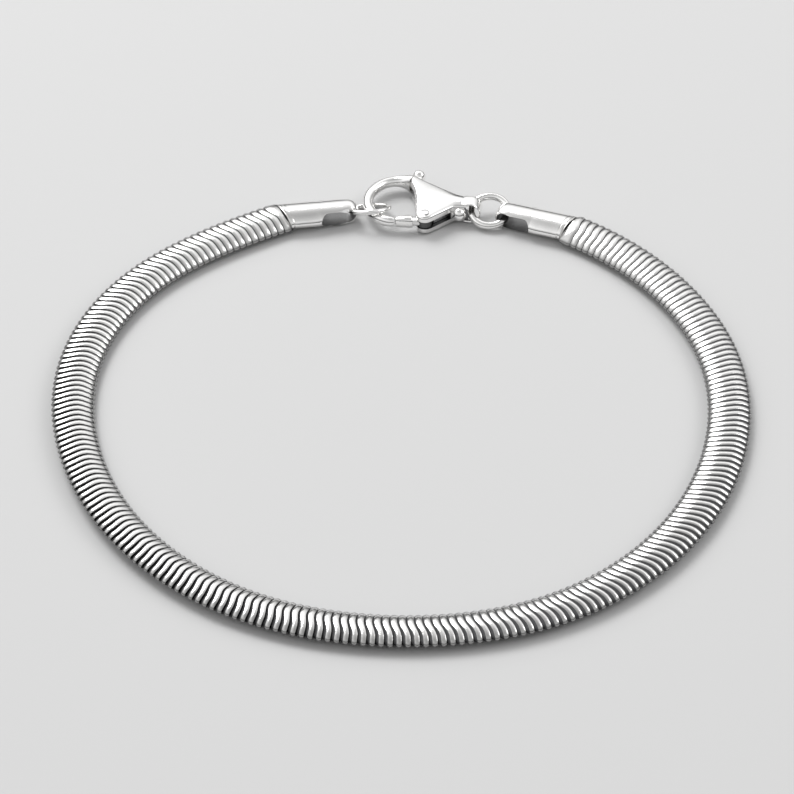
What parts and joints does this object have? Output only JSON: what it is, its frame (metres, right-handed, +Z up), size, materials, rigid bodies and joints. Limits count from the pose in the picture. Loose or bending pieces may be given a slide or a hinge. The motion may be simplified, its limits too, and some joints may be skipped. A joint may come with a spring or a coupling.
{
  "type": "snake chain bracelet",
  "caption": "Closed flat snake chain bracelet in polished silver, with two end caps, two rings and a sprung lobster clasp whose lever opens the hook.",
  "frame": {"origin": "on the surface it lies on, under the middle of the closed loop's bounding box", "axes": "+Z up from the surface, +Y towards the clasp, +X to the right with the clasp at the back"},
  "size_m": [0.0644, 0.0697, 0.0022],
  "materials": {
    "chain_silver": "polished silver links with fine wear lines",
    "fitting_silver": "polished cast silver with soft hairline scratches",
    "spring_steel": "plain spring steel"
  },
  "bodies": {
    "bracelet": {"snake_chain": "chain_silver", "end_cap_hook_side": "fitting_silver", "end_cap_ring_side": "fitting_silver", "catch_ring": "fitting_silver", "jump_ring": "fitting_silver", "clasp_body": "fitting_silver", "clasp_pin": "fitting_silver", "clasp_spring": "spring_steel"},
    "lever": {"clasp_lever": "fitting_silver"}
  },
  "joints": [
    {"name": "lever_pivot", "type": "hinge", "parent": "bracelet", "child": "lever", "pos_m": [0.00231, 0.0268, 0.0011], "axis": [0, 0, -1], "range_deg": [0, 18], "stiffness_Nm_per_rad": 0.01}
  ]
}
